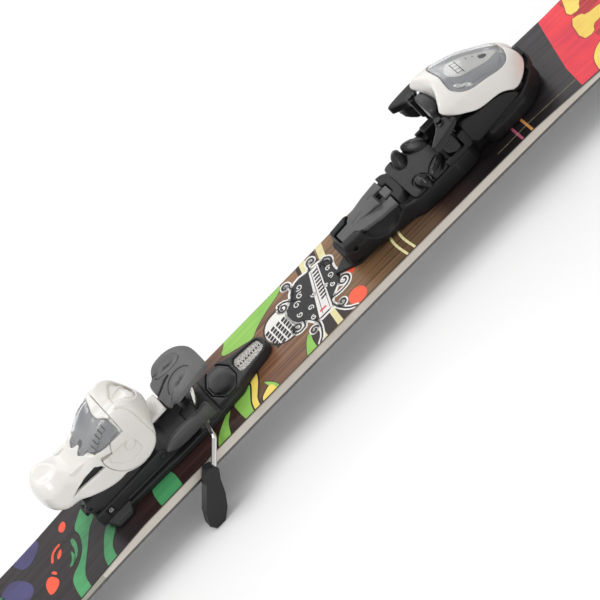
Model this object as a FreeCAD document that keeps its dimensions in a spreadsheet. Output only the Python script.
"""Junior twin-tip alpine ski with an adjustable step-in binding.

Frame: millimetres, +X towards the tip, +Y to the left, +Z up. The origin is on the underside of the
ski, in the middle of its width, below the boot-centre mark. The binding stands open: heel cup up,
rear lever down, brake deployed. Binding pieces are drawn above the ski's top surface, and each one
is lifted onto it by its Placement.
"""
import FreeCAD, Part
import math
import os
from FreeCAD import Placement, Rotation, Vector

doc = FreeCAD.newDocument("alpine_ski")
sheet = doc.addObject("Spreadsheet::Sheet", "dims")

DRIVING_SIZES = {
    "tip_end": 690, "tail_end": 610, "waist_width": 76, "tip_width": 108, "tail_width": 91,
    "tip_contact": 510, "tail_contact": 450, "waist_back": 60, "ski_thick": 10, "end_thick": 5,
    "shoulder_thick": 6.5, "flat_front": 180, "flat_back": 200, "camber": 8, "tip_lift": 50,
    "tail_lift": 38, "base_thick": 1.2, "edge_width": 2, "edge_height": 2, "skin_thick": 0.8,
    "sidewall_width": 4, "sidewall_reach": 245, "core_front": 600, "core_back": 550,
    "sole_length": 285, "track_gap": 0.3, "screw_radius": 2.1, "screw_head_radius": 4.2,
    "toe_rail_top": 7, "toe_deck": 17, "toe_half_width": 24.6, "pin_radius": 1.5,
    "heel_pivot_x": -167, "heel_pivot_z": 46, "axle_radius": 3, "heel_half_width": 20.5,
    "cheek_disc_radius": 21.5, "heel_deck": 19, "brake_pivot_x": -122, "brake_pivot_z": 9.5,
    "wire_radius": 1.9, "brake_arm_y": 44, "pad_half_width": 20, "shell_wall": 2.4,
}
for row, (alias, number) in enumerate(DRIVING_SIZES.items(), start=1):
    sheet.set(f"A{row}", str(number))
    sheet.setAlias(f"A{row}", alias)
doc.recompute()

TOE_SHIFT = "(dims.sole_length - 285) / 2"
HEEL_SHIFT = "(285 - dims.sole_length) / 2"
PLANE_ROLES = {"top": "XY_Plane", "side": "XZ_Plane", "front": "YZ_Plane"}
pieces = {}


def size(alias):
    """A driving size as a number."""
    return float(sheet.get(alias))


def value(number):
    """A number, an alias or (alias, added amount) as a plain number."""
    if isinstance(number, str):
        return size(number)
    if isinstance(number, tuple):
        return size(number[0]) + number[1]
    return float(number)


def mirrored(half):
    """Close an outline that is given on its +Y side by adding its mirror image."""
    return list(half) + [(x, -y) for x, y in reversed(half) if abs(y) > 1e-6]


def mirrored_section(half):
    """The same for a cross-section: points (y, z) on the +Y side, mirrored in Y."""
    return list(half) + [(-y, z) for y, z in reversed(half) if abs(y) > 1e-6]


def circle(x, y, radius):
    return ("circle", x, y, radius)


class Piece:
    """One sub-part: a PartDesign body that is built up from sketches on its origin planes."""

    def __init__(self, name, shift=None, on_ski=True):
        self.body = doc.addObject("PartDesign::Body", name)
        self.body.Label = name
        self.count = 0
        self.name = name
        if on_ski:
            self.body.Placement.Base.z = size("ski_thick")
            self.body.setExpression("Placement.Base.z", "dims.ski_thick")
        if shift:
            self.body.setExpression("Placement.Base.x", shift)
        pieces[name] = self.body

    def sketch(self, plane, offset, outline):
        """A closed sketch: a polygon of (a, b) points or one circle, `offset` along the normal."""
        self.count += 1
        sketch = self.body.newObject("Sketcher::SketchObject", f"{self.name}_sketch{self.count}")
        role = PLANE_ROLES[plane]
        origin_plane = [item for item in self.body.Origin.OriginFeatures if item.Role == role][0]
        sketch.AttachmentSupport = [(origin_plane, "")]
        sketch.MapMode = "FlatFace"
        sketch.AttachmentOffset = Placement(Vector(0, 0, offset), Rotation())
        if outline[0] == "circle":
            centre = Vector(value(outline[1]), value(outline[2]), 0)
            sketch.addGeometry(Part.Circle(centre, Vector(0, 0, 1), value(outline[3])), False)
            return sketch
        corners = [Vector(value(a), value(b), 0) for a, b in outline]
        for first, second in zip(corners, corners[1:] + corners[:1]):
            sketch.addGeometry(Part.LineSegment(first, second), False)
        return sketch

    def feature(self, kind, plane, low, high, outline):
        """A Pad or Pocket between two levels along the plane's axis (Z, Y or X)."""
        low_level, high_level = value(low), value(high)
        # The sketch normal of the side plane points along -Y.
        start = -high_level if plane == "side" else low_level
        if kind == "PartDesign::Pocket":
            start += high_level - low_level
        sketch = self.sketch(plane, start, outline)
        result = self.body.newObject(kind, f"{self.name}_{kind[12:].lower()}{self.count}")
        result.Profile = sketch
        result.Length = high_level - low_level
        if isinstance(high, str) and not isinstance(low, (str, tuple)):
            result.setExpression("Length", f"dims.{high} - {low}")
        sketch.Visibility = False
        return result

    def pad(self, plane, low, high, outline):
        self.feature("PartDesign::Pad", plane, low, high, outline)
        return self

    def cut(self, plane, low, high, outline):
        self.feature("PartDesign::Pocket", plane, low, high, outline)
        return self

    def loft(self, sections, hollow=False):
        """A ruled loft through YZ sections given as (x, points)."""
        kind = "PartDesign::SubtractiveLoft" if hollow else "PartDesign::AdditiveLoft"
        sketches = [self.sketch("front", x, points) for x, points in sections]
        result = self.body.newObject(kind, f"{self.name}_loft{self.count}")
        result.Profile = sketches[0]
        result.Sections = sketches[1:]
        result.Ruled = True
        return self

    def round_edges(self, radius, chosen):
        """Fillet the edges whose middle point `chosen` accepts."""
        doc.recompute()
        tip = self.body.Tip
        names = []
        for index, edge in enumerate(tip.Shape.Edges, start=1):
            middle = edge.valueAt((edge.FirstParameter + edge.LastParameter) / 2)
            if chosen(middle, edge):
                names.append(f"Edge{index}")
        fillet = self.body.newObject("PartDesign::Fillet", f"{self.name}_fillet{self.count}")
        fillet.Base = (tip, names)
        fillet.Radius = radius
        return self


def shaped(name, shape, shift=None, on_ski=True):
    """A sub-part whose curved shape is made with Part's own functions."""
    item = doc.addObject("Part::Feature", name)
    item.Label = name
    item.Shape = shape
    if on_ski:
        item.setExpression("Placement.Base.z", "dims.ski_thick")
    if shift:
        item.setExpression("Placement.Base.x", shift)
    pieces[name] = item
    return item


def cylinder(start, axis, radius, length):
    return Part.makeCylinder(radius, length, Vector(*start), Vector(*axis))


# --------------------------------------------------------------------------- the ski

def smooth_step(share):
    share = min(max(share, 0.0), 1.0)
    return share * share * (3 - 2 * share)


def base_height(x):
    """Height of the running base: flat under the binding, cambered, turned up at both ends."""
    if x >= 0:
        flat, contact = size("flat_front"), size("tip_contact")
        end, lift = size("tip_end"), size("tip_lift")
    else:
        flat, contact = size("flat_back"), size("tail_contact")
        end, lift = size("tail_end"), size("tail_lift")
    along = abs(x)
    height = -size("camber") * smooth_step((along - flat) / (contact - flat))
    if along > contact:
        height += (lift + size("camber")) * ((along - contact) / (end - contact)) ** 1.8
    return height


def thickness(x):
    """Thickness of the whole stack: full under the binding, thinner outside, thinnest at the ends."""
    flat, end = (size("flat_front"), size("tip_end")) if x >= 0 else (size("flat_back"), size("tail_end"))
    shoulder = size("shoulder_thick")
    along = abs(x)
    full = size("ski_thick") + (shoulder - size("ski_thick")) * smooth_step((along - flat) / 60)
    return full + (size("end_thick") - shoulder) * max(0.0, (along - flat - 60) / (end - flat - 60))


FRONT_STATIONS = (180, 210, 240, 290, 370, 450, 510, 560, 610, 650, 700)
BACK_STATIONS = (-620, -580, -540, -500, -450, -390, -320, -260, -230, -200)


def height_curve(stations, above_base, below_top):
    """A spline through the stations, at a fixed distance from the base or from the top surface."""
    points = []
    for x in stations:
        height = base_height(x) + above_base
        if below_top is not None:
            height = base_height(x) + thickness(x) - below_top
        points.append(Vector(x, 0, height))
    curve = Part.BSplineCurve()
    curve.interpolate(points)
    return curve.toShape()


def layer_slab(bottom, top):
    """Solid between two levels; a level is (height above base, None) or (0, depth below top)."""
    edges = []
    for above_base, below_top in (bottom, top):
        back = height_curve(BACK_STATIONS, above_base, below_top)
        front = height_curve(FRONT_STATIONS, above_base, below_top)
        flat = Part.makeLine(back.Vertexes[-1].Point, front.Vertexes[0].Point)
        edges.append([back, flat, front])
    low, high = edges
    closing = [
        Part.makeLine(low[-1].Vertexes[-1].Point, high[-1].Vertexes[-1].Point),
        Part.makeLine(low[0].Vertexes[0].Point, high[0].Vertexes[0].Point),
    ]
    outline = Part.Wire(Part.__sortEdges__(low + high + closing))
    face = Part.Face(outline)
    slab = face.extrude(Vector(0, 160, 0))
    slab.translate(Vector(0, -80, 0))
    return slab


def plan_prism(inset):
    """Upright prism of the ski's plan outline, moved inwards by `inset`."""
    tip, tail = size("tip_end") - inset, size("tail_end") - inset
    front, back = size("tip_width") / 2 - inset, size("tail_width") / 2 - inset
    waist = size("waist_width") / 2 - inset
    tip_x, tail_x, waist_x = size("tip_contact"), -size("tail_contact"), -size("waist_back")
    side_back = Vector(tail_x, back, 0)
    side_front = Vector(tip_x, front, 0)
    sidecut = Part.Arc(side_back, Vector(waist_x, waist, 0), side_front).toShape()
    nose = Part.BSplineCurve()
    nose.interpolate(
        [side_front, Vector(tip_x + 0.42 * (tip - tip_x), front * 0.95, 0),
         Vector(tip_x + 0.80 * (tip - tip_x), front * 0.64, 0), Vector(tip, 0, 0)])
    heel = Part.BSplineCurve()
    heel.interpolate(
        [side_back, Vector(tail_x + 0.42 * (-tail - tail_x), back * 0.96, 0),
         Vector(tail_x + 0.82 * (-tail - tail_x), back * 0.64, 0), Vector(-tail, 0, 0)])
    half = [heel.toShape(), sidecut, nose.toShape()]
    flip = [edge.mirror(Vector(0, 0, 0), Vector(0, 1, 0)) for edge in half]
    wire = Part.Wire(Part.__sortEdges__(half + flip))
    prism = Part.Face(wire).extrude(Vector(0, 0, 140))
    prism.translate(Vector(0, 0, -40))
    return prism


def slice_box(low_x, high_x, low_y=-80, high_y=80):
    return Part.makeBox(high_x - low_x, high_y - low_y, 200, Vector(low_x, low_y, -60))


def make_ski():
    edge, skin, base = size("edge_width"), size("skin_thick"), size("base_thick")
    edge_top, wall, reach = size("edge_height"), size("sidewall_width"), size("sidewall_reach")
    outer, inner = plan_prism(0), plan_prism(edge)
    core_plan = plan_prism(wall)
    whole_low, base_level, edge_level = (0, None), (base, None), (edge_top, None)
    top_level, skin_level, core_level = (0, 0), (0, skin), (0, 2 * skin)

    base_slab = layer_slab(whole_low, base_level)
    laminate_slab = layer_slab(base_level, edge_level)
    edge_slab = layer_slab(whole_low, edge_level)
    core_slab = layer_slab(edge_level, core_level)
    top_slab = layer_slab(core_level, skin_level)
    skin_slab = layer_slab(skin_level, top_level)

    shaped("base_sheet", base_slab.common(inner), on_ski=False)
    shaped("bottom_laminate", laminate_slab.common(inner), on_ski=False)
    shaped("steel_edges", edge_slab.common(outer).cut(inner), on_ski=False)

    screw_holes = [
        cylinder((x, y, size("ski_thick") - 7), (0, 0, 1), size("screw_radius"), 12)
        for x, y in TOE_SCREWS + HEEL_SCREWS
    ]
    core = core_slab.common(core_plan)
    middle = core.common(slice_box(-size("core_back"), size("core_front")))
    for hole in screw_holes:
        middle = middle.cut(hole)
    shaped("wood_core", middle, on_ski=False)
    shaped("tip_spacer", core.common(slice_box(size("core_front"), 800)), on_ski=False)
    shaped("tail_spacer", core.common(slice_box(-800, -size("core_back"))), on_ski=False)

    rim = core_slab.common(outer).cut(core_plan)
    for side, low_y, high_y in (("left", 0, 80), ("right", -80, 0)):
        strip = rim.common(slice_box(-reach, reach, low_y, high_y))
        shaped(f"sidewall_{side}", strip, on_ski=False)
    # Beyond the sidewalls the top laminate wraps down to the steel edge, like a cap.
    laminate = top_slab.common(outer)
    laminate = laminate.fuse(rim.common(slice_box(reach, 800)))
    laminate = laminate.fuse(rim.common(slice_box(-800, -reach)))
    skin_sheet = skin_slab.common(outer)
    for hole in screw_holes:
        laminate = laminate.cut(hole)
        skin_sheet = skin_sheet.cut(hole)
    shaped("top_laminate", laminate.removeSplitter(), on_ski=False)
    shaped("topsheet", skin_sheet, on_ski=False)


TOE_SCREWS = [(48, 0), (96, 0), (128, 0), (170, 0)]
HEEL_SCREWS = [(-206, -15), (-206, 15), (-166, 0), (-92, 0), (-64, 0)]


def wood_screws(name, spots, head_low, head_high):
    """A group of equal countersunk wood screws, one solid each."""
    screws = []
    for x, y in spots:
        shank = cylinder((x, y, -6), (0, 0, 1), size("screw_radius"), head_low + 6)
        head = cylinder((x, y, head_low), (0, 0, 1), size("screw_head_radius"), head_high - head_low)
        slot_long = Part.makeBox(5, 1, 1.4, Vector(x - 2.5, y - 0.5, head_high - 1.4))
        slot_cross = Part.makeBox(1, 5, 1.4, Vector(x - 0.5, y - 2.5, head_high - 1.4))
        screws.append(shank.fuse(head).cut(slot_long).cut(slot_cross))
    shaped(name, Part.makeCompound(screws))


def coil_spring(start_x, end_x, y, z, radius, wire, turns):
    """A compression spring along X, swept round a helix."""
    length = end_x - start_x - 2 * wire
    helix = Part.makeHelix(length / turns, length, radius)
    profile = Part.Wire([Part.Circle(Vector(radius, 0, 0), Vector(0, 1, 0), wire).toShape()])
    coil = Part.Wire(helix).makePipeShell([profile], True, False)
    coil.rotate(Vector(0, 0, 0), Vector(0, 1, 0), 90)
    coil.translate(Vector(start_x + wire, y, z))
    return Part.makeCompound([coil])


# --------------------------------------------------------------------------- the toe unit

TOE_SPRING_Z = 24
LATCH_PIN = (36, 14.5)
WING_PIN = (136.5, 20.3)


def make_toe_track():
    track = Piece("toe_track")
    track.pad("top", 0, 2.5, mirrored([(14, 0), (28, 8), (32, 10), (182, 10)]))
    track.pad("top", 2.5, 4.5, mirrored([(30, 7), (180, 7)]))
    track.pad("top", 4.5, "toe_rail_top", mirrored([(30, 9.5), (180, 9.5)]))
    for x, y in TOE_SCREWS:
        track.cut("top", 3.4, 8, circle(x, y, ("screw_head_radius", 0.1)))
        track.cut("top", -1, 4, circle(x, y, ("screw_radius", 0.05)))
    for index in range(5):
        low = 60 + 6 * index
        track.cut("top", 4.6, 8, mirrored([(low, 5), (low + 3, 5)]))
    wood_screws("toe_track_screws", TOE_SCREWS, 3.4, 6.6)


def rail_channel(piece, low_x, high_x, web, flange, levels):
    """A T-shaped channel that rides on a rail: `levels` are the ski plate, lip and flange tops."""
    plate_top, lip_top, flange_top = levels
    gap = size("track_gap")
    piece.cut("front", low_x, high_x, mirrored_section([
        (web + 3 + gap, -1), (web + 3 + gap, plate_top + gap), (web + gap, plate_top + gap),
        (web + gap, lip_top - gap), (flange + gap, lip_top - gap), (flange + gap, flange_top + gap)]))


def make_toe_base():
    base = Piece("toe_base", TOE_SHIFT)
    half = size("toe_half_width")
    base.pad("top", 0.4, "toe_deck", mirrored([
        (26, 11.6), (50, 12.5), (75, 17), (84, half), (140, half), (146, 18), (153, 18),
        (158, half), (190, half), (204, 16), (212, 8)]))
    base.cut("top", 14.5, 18, mirrored([(139.5, 30), (214, 30)]))
    base.pad("top", "toe_deck", 20.2, mirrored([(26, 11.6), (50, 12.5), (75, 17), (82, 20), (84.5, 20)]))
    # Side rails that keep the anti-friction plate on the deck.
    for low, high in ((84.5, 87), (123.4, 126)):
        base.pad("top", 16, 19.4, [(low, -22), (high, -22), (high, 22), (low, 22)])
    # Recess for the latch lever, open at the top and at both finger scoops.
    base.cut("top", 10, 22, mirrored([(27.5, 8.2), (45, 8.2), (62, 13.5), (84, 17.2)]))
    base.cut("top", 6, 12, mirrored([(47, 5.2), (65, 5.2)]))
    base.cut("side", -30, 30, [(44, 16.4), (76, 16.4), (76, 23), (44, 23)])
    rail_channel(base, 20, 200, 7, 9.5, (2.5, 4.5, 7))
    base.cut("side", -10.7, 10.7, circle(*LATCH_PIN, ("pin_radius", 0.02)))


def make_latch():
    lever = Piece("latch_lever", TOE_SHIFT)
    lever.pad("top", 17.2, 21.4, mirrored([(33, 6), (45, 6), (62, 11), (79, 16), (80.5, 6), (82, 0)]))
    lever.pad("side", -4, 4, [(50, 17.2), (50, 8.2), (56, 8.2), (60, 17.2)])
    lever.pad("side", -8, 8, [(50, 21.4), (57, 23.4), (68, 22.4), (69, 21.4)])
    lever.pad("side", -5.8, 5.8, [(33, 17.3), (33, 13), (35, 11.5), (38, 11.5), (42, 17.3)])
    lever.cut("top", 16, 24, mirrored([(71.5, 5), (75.5, 5)]))
    lever.cut("side", -9, 9, circle(*LATCH_PIN, ("pin_radius", 0.05)))
    pin = Piece("latch_pin", TOE_SHIFT)
    pin.pad("side", -10.6, 10.6, circle(*LATCH_PIN, "pin_radius"))


def make_afd():
    plate = Piece("afd_plate", TOE_SHIFT)
    plate.pad("top", ("toe_deck", 0.3), ("toe_deck", 3.1), mirrored([
        (87.6, 22), (90, 24), (120, 24), (122.8, 22)]))
    for x, y, along, across in ((99, 17, 4, 6), (114, 16.5, 6, 5)):
        for side in (-1, 1):
            corners = []
            for step in range(16):
                angle = 2 * math.pi * step / 16
                corners.append((x + along * math.cos(angle), side * y + across * math.sin(angle)))
            plate.pad("top", ("toe_deck", 3.0), ("toe_deck", 5.2), corners)


def cover_section(half_width, crown, low_edge):
    """Arched section of the toe cover, from the lower edge up over the crown."""
    return mirrored_section([
        (half_width, low_edge), (half_width, crown - 14), (half_width * 0.88, crown - 6.5),
        (half_width * 0.62, crown - 1.8), (half_width * 0.28, crown)])


COVER_STATIONS = (
    (142, 26.5, 57.5, 41), (150, 26.5, 58, 40), (160, 26, 56, 35.5), (175, 25, 51.5, 29),
    (190, 22.5, 44.5, 23), (203, 18.5, 35, 18.5), (211, 13.5, 28, 15.2))


def make_toe_housing():
    tower = Piece("toe_tower", TOE_SHIFT)
    tower.pad("side", -17, 17, [
        (140, 14.6), (140, 47), (150, 47), (158, 39.5), (166, 38), (184, 33), (200, 25.6), (205, 18),
        (205, 14.6)])
    for side in (-1, 1):
        tower.cut("top", 14, 50, [(186, side * 30), (186, side * 16), (208, side * 10), (208, side * 30)])
    tower.pad("side", -24, 24, [(141.5, 14.6), (141.5, 27.5), (152, 32), (178, 24), (186, 18), (186, 14.6)])
    tower.pad("side", 17, 23.6, [(126, 17.2), (126, 27.6), (142, 27.6), (142, 17.2)])
    tower.pad("side", -23.6, -17, [(126, 17.2), (126, 27.6), (142, 27.6), (142, 17.2)])
    tower.cut("front", 146, 210, circle(0, TOE_SPRING_Z, 7.9))
    tower.cut("front", 134, 150, circle(0, 44, 8.6))
    tower.cut("side", -3.4, 3.4, [(176, 30), (176, 50), (200, 50), (200, 30)])
    for side in (-1, 1):
        tower.cut("top", 17, 30, circle(WING_PIN[0], side * WING_PIN[1], ("pin_radius", 0.02)))

    stop = Piece("toe_stop", TOE_SHIFT)
    stop.pad("front", 137, 150, circle(0, 44, 8.2))
    stop.cut("front", 136, 138.5, circle(0, 44, 5))

    outer = [(x, cover_section(half, crown, low)) for x, half, crown, low in COVER_STATIONS]
    wall = size("shell_wall")
    inner = []
    for index, (x, half, crown, low) in enumerate(COVER_STATIONS):
        shift = (-1, 0, 0, 0, 0, -1, -wall)[index]
        inner.append((x + shift, cover_section(half - wall, crown - wall, low - 3)))
    cover = Piece("toe_cover", TOE_SHIFT)
    cover.loft(outer)
    cover.loft(inner, hollow=True)
    cover.cut("top", 20, 70, mirrored([(157, 15), (172, 16), (190, 13), (201, 9)]))
    cover.cut("front", 204, 214, circle(0, TOE_SPRING_Z, 5.5))
    cover.cut("front", 204, 214, mirrored_section([(11.6, 10), (11.6, 19.4)]))

    window = Piece("toe_window", TOE_SHIFT)
    window.loft([(x, cover_section(half - 0.4, crown - 0.4, low)) for x, half, crown, low in COVER_STATIONS])
    window.loft([(x, cover_section(half - 2, crown - 2, low - 3)) for x, half, crown, low in COVER_STATIONS],
                hollow=True)
    window.cut("top", 0, 70, [(130, -40), (157.2, -40), (157.2, 40), (130, 40)])
    window.cut("top", 0, 70, [(200.8, -40), (220, -40), (220, 40), (200.8, 40)])
    for side in (-1, 1):
        window.cut("top", 0, 70, [
            (150, side * 14.8), (157.2, side * 14.8), (172, side * 15.8), (190, side * 12.8),
            (202, side * 8.6), (202, side * 40), (150, side * 40)])

    scale = Piece("toe_scale", TOE_SHIFT)
    scale.pad("side", -9, 9, [
        (159, 41.2), (159, 44.6), (172, 43), (188, 37.5), (198, 32.5), (198, 31), (186, 35.5), (168, 40.4)])
    scale.cut("top", 20, 60, mirrored([(175.5, 4.4), (199, 4.4)]))

    indicator = Piece("toe_indicator", TOE_SHIFT)
    indicator.pad("side", -3, 3, [(186, 31.8), (186, 38.4), (191.5, 36), (191.5, 31.8)])

    bumper = Piece("toe_bumper", TOE_SHIFT)
    bumper.pad("top", 14.7, 19, mirrored([(206.5, 11), (212, 8.5), (214.5, 0)]))
    bumper.cut("front", 200, 220, circle(0, TOE_SPRING_Z, 5.4))


def make_toe_spring():
    shaped("toe_spring", coil_spring(152, 186, 0, TOE_SPRING_Z, 5.6, 1.3, 7), TOE_SHIFT)
    cap = Piece("toe_spring_cap", TOE_SHIFT)
    cap.pad("front", 148, 151.8, circle(0, TOE_SPRING_Z, 7.6))
    nut = Piece("toe_spring_nut", TOE_SHIFT)
    nut.pad("front", 186.2, 191.5, circle(0, TOE_SPRING_Z, 7.6))
    nut.cut("front", 184, 194, circle(0, TOE_SPRING_Z, 3.1))
    screw = Piece("toe_setting_screw", TOE_SHIFT)
    screw.pad("front", 176, 206.4, circle(0, TOE_SPRING_Z, 3))
    screw.pad("front", 206.4, 212.8, circle(0, TOE_SPRING_Z, 5))
    screw.cut("front", 211, 214, [(-0.8, 20), (0.8, 20), (0.8, 28), (-0.8, 28)])


def make_wings():
    """Two wings that swing outwards about upright pins and hold the boot's toe lug."""
    low, high = 28, 48
    for side, label in ((1, "left"), (-1, "right")):
        wing = Piece(f"{label}_wing", TOE_SHIFT)
        wing.pad("top", low, high, circle(WING_PIN[0], side * WING_PIN[1], 3.4))
        wing.pad("top", 30, 47, [
            (138, side * 20), (138, side * 25.6), (134, side * 29.6), (124, side * 33.4),
            (121, side * 33), (121.5, side * 29.5), (127, side * 25.5), (133, side * 22)])
        wing.pad("top", 44, high, [
            (138, side * 19), (138, side * 26), (134, side * 32), (121, side * 34.6),
            (120, side * 31), (122, side * 25.6), (129, side * 20), (134, side * 17.6)])
        wing.cut("top", 26, 50, circle(WING_PIN[0], side * WING_PIN[1], ("pin_radius", 0.05)))
        pin = Piece(f"wing_pin_{label}", TOE_SHIFT)
        pin.pad("top", 17, 49, circle(WING_PIN[0], side * WING_PIN[1], "pin_radius"))
        pin.pad("top", 48.3, 49.6, circle(WING_PIN[0], side * WING_PIN[1], 2.6))


# --------------------------------------------------------------------------- the heel unit

HEEL_SPRING_Z = 49
INNER_CHEEK = (11.7, 15.6)
OUTER_CHEEK = (16.2, 20.5)


def both_sides(levels):
    """A pair of levels along Y on the left, and its mirror image on the right."""
    low, high = levels
    return (low, high), (-high, -low)


def make_heel_track():
    track = Piece("heel_track")
    track.pad("top", 0, 5, mirrored([
        (-214, 20), (-212, 23), (-200, 23), (-197, 16.5), (-160, 16.5), (-154, 21), (-114, 21),
        (-108, 16), (-84, 15.5), (-78, 13), (-50, 8), (-46, 0)]))
    track.pad("top", 5, 7, mirrored([(-212, 5.5), (-118, 5.5)]))
    track.pad("top", 7, 9, mirrored([(-212, 7.5), (-118, 7.5)]))
    for x, y in HEEL_SCREWS:
        track.cut("top", 1.8, 12, circle(x, y, ("screw_head_radius", 0.1)))
        track.cut("top", -1, 2.3, circle(x, y, ("screw_radius", 0.05)))
    wood_screws("heel_track_screws", HEEL_SCREWS, 1.8, 4.6)

    plate = Piece("scale_plate")
    plate.pad("top", 5, 5.4, mirrored([(-82, 7.5), (-70, 7.5), (-56, 6)]))
    cover = Piece("hex_cover")
    cover.pad("top", 5, 7.4, mirrored([(-104, 6), (-100, 12), (-87, 12), (-83, 6)]))
    cover.round_edges(1.2, lambda middle, edge: middle.z > 7.3)


def make_heel_base():
    base = Piece("heel_base", HEEL_SHIFT)
    base.pad("front", -221, -127, mirrored_section([
        (16, 5.4), (16, 9), (14.5, 12), (13.5, 15.5)]))
    base.pad("front", -221, -150, mirrored_section([(13.5, 15.4), (12.6, 17.6), (11.4, "heel_deck")]))
    base.cut("top", 12.2, 20, mirrored([(-224, 6), (-203, 6)]))
    base.cut("side", -8.2, 8.2, circle(-206, 14.2, ("pin_radius", 0.05)))
    rail_channel(base, -230, -100, 5.5, 7.5, (5, 7, 9))
    # Tower that carries the axle of the heel cup.
    base.pad("side", -11.2, 11.2, [
        (-186, 18.8), (-180, 34), (-179, 46), (-175, 54), (-167, 57.5), (-159, 54), (-155.6, 46),
        (-157, 38), (-162.4, 30), (-166, 18.8)])
    base.cut("side", -30, 30, circle("heel_pivot_x", "heel_pivot_z", ("axle_radius", 0.05)))
    axle = Piece("heel_axle", HEEL_SHIFT)
    axle.pad("side", -19.8, 19.8, circle("heel_pivot_x", "heel_pivot_z", "axle_radius"))
    latch = Piece("heel_latch", HEEL_SHIFT)
    latch.pad("side", -5.6, 5.6, [(-224.6, 13.2), (-224.6, 16.6), (-222.6, 16.6), (-222, 15), (-204.4, 15),
                                  (-204.4, 13.4), (-206, 12.9), (-208, 13.2)])
    latch.pad("side", -8, 8, circle(-206, 14.2, "pin_radius"))


def make_heel_cup():
    """Front jaw that grips the boot's heel lug; two round outer cheeks turn on the axle."""
    cup = Piece("heel_cup", HEEL_SHIFT)
    half = size("heel_half_width")
    cup.pad("side", -half, half, [
        (-156.6, 76), (-152, 78), (-143, 72), (-138, 60), (-136.5, 50), (-139, 40), (-144, 35),
        (-151.5, 32), (-155, 34), (-156.6, 36)])
    cup.pad("side", -11, 11, [(-147, 34.2), (-147, 38), (-139, 37.4), (-135.6, 36.4), (-135.6, 34.2)])
    # Hollow behind the jaw, wide enough for the tower in every position.
    cup.cut("side", -11.6, 11.6, circle("heel_pivot_x", "heel_pivot_z", 20))
    cup.cut("side", -11.6, 11.6, [(-158, 60), (-150, 60), (-150, 70), (-158, 73)])
    for low in (-15.5, -4.5, 6.5):
        cup.cut("side", low, low + 9, [(-144.6, 45), (-136, 41), (-134, 62), (-142.2, 66.5)])
    for low, high in both_sides(OUTER_CHEEK):
        cup.pad("side", low, high, circle("heel_pivot_x", "heel_pivot_z", "cheek_disc_radius"))
    cup.cut("side", -30, 30, circle("heel_pivot_x", "heel_pivot_z", ("axle_radius", 0.05)))


def make_heel_lever():
    """Rear lever: knob, two arms that end round the cup's cheeks, and inner cheeks on the axle."""
    lever = Piece("heel_lever", HEEL_SHIFT)
    lever.pad("side", -22, 22, [
        (-239, 44), (-241, 50), (-241, 60), (-237, 66), (-230, 68), (-219, 67), (-214, 63), (-213.4, 52),
        (-214, 42), (-220, 39), (-234, 40)])
    for low, high in both_sides(OUTER_CHEEK):
        lever.pad("side", low, high, [
            (-215, 38.6), (-205, 35.6), (-192, 30.8), (-184, 30.4), (-184, 46), (-166.6, 46),
            (-166.6, 72.6), (-172, 71.8), (-180, 69), (-190, 62.4), (-205, 60.4), (-215, 62)])
        lever.cut("side", low - 0.6, high + 0.6,
                  circle("heel_pivot_x", "heel_pivot_z", ("cheek_disc_radius", 0.8)))
    lever.pad("side", -16.3, 16.3, [(-215, 41), (-204, 41), (-204, 61.8), (-215, 63)])
    for low, high in both_sides(INNER_CHEEK):
        lever.pad("side", low, high, [(-210, 42), (-167, 38), (-167, 54), (-210, 58)])
        lever.pad("side", low, high, circle("heel_pivot_x", "heel_pivot_z", 8.4))
    lever.cut("side", -30, 30, circle("heel_pivot_x", "heel_pivot_z", ("axle_radius", 0.05)))
    lever.cut("side", -14.5, 14.5, [(-221, 57.2), (-203, 57.2), (-203, 62.4), (-221, 62.4)])
    lever.cut("front", -212, -203, circle(0, HEEL_SPRING_Z, 7.6))
    lever.cut("front", -250, -210, circle(0, HEEL_SPRING_Z, 3.1))
    lever.cut("front", -250, -236.6, circle(0, HEEL_SPRING_Z, 5.4))
    lever.cut("side", -16, 16, [(-225, 36), (-225, 39), (-217, 40), (-217, 36)])
    window = Piece("heel_window", HEEL_SHIFT)
    window.pad("side", -15.9, 15.9, [
        (-199, 59), (-199, 61), (-184, 66.6), (-171, 69.4), (-171, 67.4), (-184, 64.6)])


def make_heel_spring():
    shaped("heel_spring", coil_spring(-211, -188.2, 0, HEEL_SPRING_Z, 5.6, 1.4, 5), HEEL_SHIFT)
    piston = Piece("heel_piston", HEEL_SHIFT)
    piston.pad("front", -188, -182.6, circle(0, HEEL_SPRING_Z, 7.2))
    screw = Piece("heel_setting_screw", HEEL_SHIFT)
    screw.pad("front", -236.8, -211.4, circle(0, HEEL_SPRING_Z, 3))
    screw.pad("front", -240.6, -236.8, circle(0, HEEL_SPRING_Z, 5.2))
    screw.cut("front", -242, -239.4, [(-0.8, 45), (0.8, 45), (0.8, 53), (-0.8, 53)])
    indicator = Piece("heel_indicator", HEEL_SHIFT)
    indicator.pad("side", -4, 4, [(-196, 57.2), (-196, 58.6), (-188, 61), (-188, 57.2)])


# --------------------------------------------------------------------------- the brake

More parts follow.
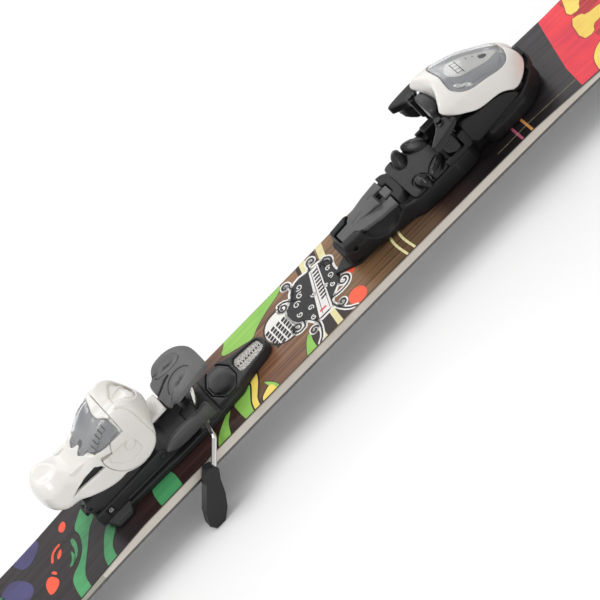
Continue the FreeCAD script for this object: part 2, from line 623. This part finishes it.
def wire_path(points, radius, bend):
    """A bent wire: straight runs joined by tangent arcs of one bend radius."""
    corners = [Vector(*point) for point in points]
    edges, start = [], corners[0]
    for before, corner, after in zip(corners, corners[1:], corners[2:]):
        to_before = (before - corner).normalize()
        to_after = (after - corner).normalize()
        half_turn = (math.pi - to_before.getAngle(to_after)) / 2
        reach = bend * math.tan(half_turn)
        first = corner + to_before * reach
        last = corner + to_after * reach
        inward = (to_before + to_after).normalize()
        centre = corner + inward * (bend / math.cos(half_turn))
        middle = centre - inward * bend
        edges.append(Part.LineSegment(start, first).toShape())
        edges.append(Part.Arc(first, middle, last).toShape())
        start = last
    edges.append(Part.LineSegment(start, corners[-1]).toShape())
    path = Part.Wire(edges)
    direction = (corners[1] - corners[0]).normalize()
    profile = Part.Wire([Part.Circle(corners[0], direction, radius).toShape()])
    return path.makePipeShell([profile], True, False)


PAD_PIN = (-130.6, 32.2)


def make_brake():
    pivot_x, pivot_z = size("brake_pivot_x"), size("brake_pivot_z")
    radius, arm_y = size("wire_radius"), size("brake_arm_y")
    half_route = [
        (-150.5, arm_y + 1.2, -16.5), (-139, arm_y + 0.8, -4), (pivot_x - 1.5, 38, pivot_z),
        (pivot_x, 28, pivot_z), (pivot_x, 13.5, pivot_z), (-111, 12, 33.4)]
    route = half_route + [(x, -y, z) for x, y, z in reversed(half_route)]
    shaped("brake_wire", wire_path(route, radius, 3.6), HEEL_SHIFT)
    socket = wire_path(route, radius + 0.05, 3.6)
    for side, label in ((1, "left"), (-1, "right")):
        corners = [Vector(x, side * (arm_y - 3.6), z) for x, z in (
            (-138.2, -1.2), (-143.4, 1.4), (-150, -6), (-158, -16), (-166, -26), (-170.6, -36),
            (-168, -41.6), (-160, -41.6), (-152, -34), (-146, -24), (-141.6, -13), (-137, -5))]
        outline = Part.Face(Part.makePolygon(corners + corners[:1]))
        blade = outline.extrude(Vector(0, side * 8, 0)).cut(socket)
        shaped(f"brake_tip_{label}", max(blade.Solids, key=lambda solid: solid.Volume), HEEL_SHIFT)

    pad = Piece("brake_pad", HEEL_SHIFT)
    half = size("pad_half_width")
    pad.pad("side", -half, half, [
        (-131, 29), (-131.4, 35.6), (-129, 38), (-118, 42.4), (-101, 43), (-93, 39), (-91.6, 36),
        (-93.6, 33.6), (-102, 33.4), (-104, 35)])
    pad.cut("top", 38.6, 46, mirrored([(-133, 1.2), (-117, 1.2)]))
    for side in (-1, 1):
        pad.cut("top", 41, 46, [(-128, side * 6), (-112, side * 9), (-101, side * 6), (-112, side * 5)])
    # Pocket for the wire's cross bar, and grooves that its two legs fold into.
    pad.cut("side", -16, 16, [(-119.4, 20), (-118.6, 36.4), (-103.6, 36.4), (-103.6, 20)])
    for low, high in ((9.4, 16), (-16, -9.4)):
        pad.cut("side", low, high, [(-134, 20), (-134, 32.8), (-118.6, 36.4), (-110, 36.4), (-110, 20)])
    pad.cut("side", -7.6, 7.6, circle(*PAD_PIN, 1.25))
    pad_pin = Piece("pad_pin", HEEL_SHIFT)
    pad_pin.pad("side", -7.5, 7.5, circle(*PAD_PIN, 1.2))

    plates, feet = both_sides((22, 26)), both_sides((16.2, 22.1))
    for plate, foot, label in zip(plates, feet, ("left", "right")):
        bracket = Piece(f"brake_bracket_{label}", HEEL_SHIFT)
        bracket.pad("side", *plate, [
            (-154, 8.4), (-140, 17), (-126, 21), (-114, 19.6), (-110.4, 14), (-112, 7.4), (-120, 5.6),
            (-150, 6.2)])
        bracket.pad("side", *foot, [(-150, 5.4), (-150, 7.4), (-128, 7.4), (-128, 5.4)])
        bracket.cut("side", -30, 30, circle("brake_pivot_x", "brake_pivot_z", ("wire_radius", 0.08)))
    spring = Piece("brake_spring", HEEL_SHIFT)
    spring.pad("side", 17.6, 20.6, circle("brake_pivot_x", "brake_pivot_z", 3.8))
    spring.pad("side", -20.6, -17.6, circle("brake_pivot_x", "brake_pivot_z", 3.8))
    spring.cut("side", -30, 30, circle("brake_pivot_x", "brake_pivot_z", ("wire_radius", 0.3)))


def check_and_export():
    doc.recompute()
    for item in doc.Objects:
        if "Invalid" in item.State or "Error" in item.State:
            raise RuntimeError(f"{item.Label} did not rebuild: {item.State}")
    os.makedirs("parts", exist_ok=True)
    for name, item in pieces.items():
        if item.Shape.isNull() or not item.Shape.isValid():
            raise RuntimeError(f"{name} has no valid shape")
        item.Shape.exportStep(f"parts/{name}.step")
    print(f"{len(pieces)} sub-parts written")


make_ski()
make_toe_track()
make_toe_base()
make_latch()
make_afd()
make_toe_housing()
make_toe_spring()
make_wings()
make_heel_track()
make_heel_base()
make_heel_cup()
make_heel_lever()
make_heel_spring()
make_brake()
check_and_export()
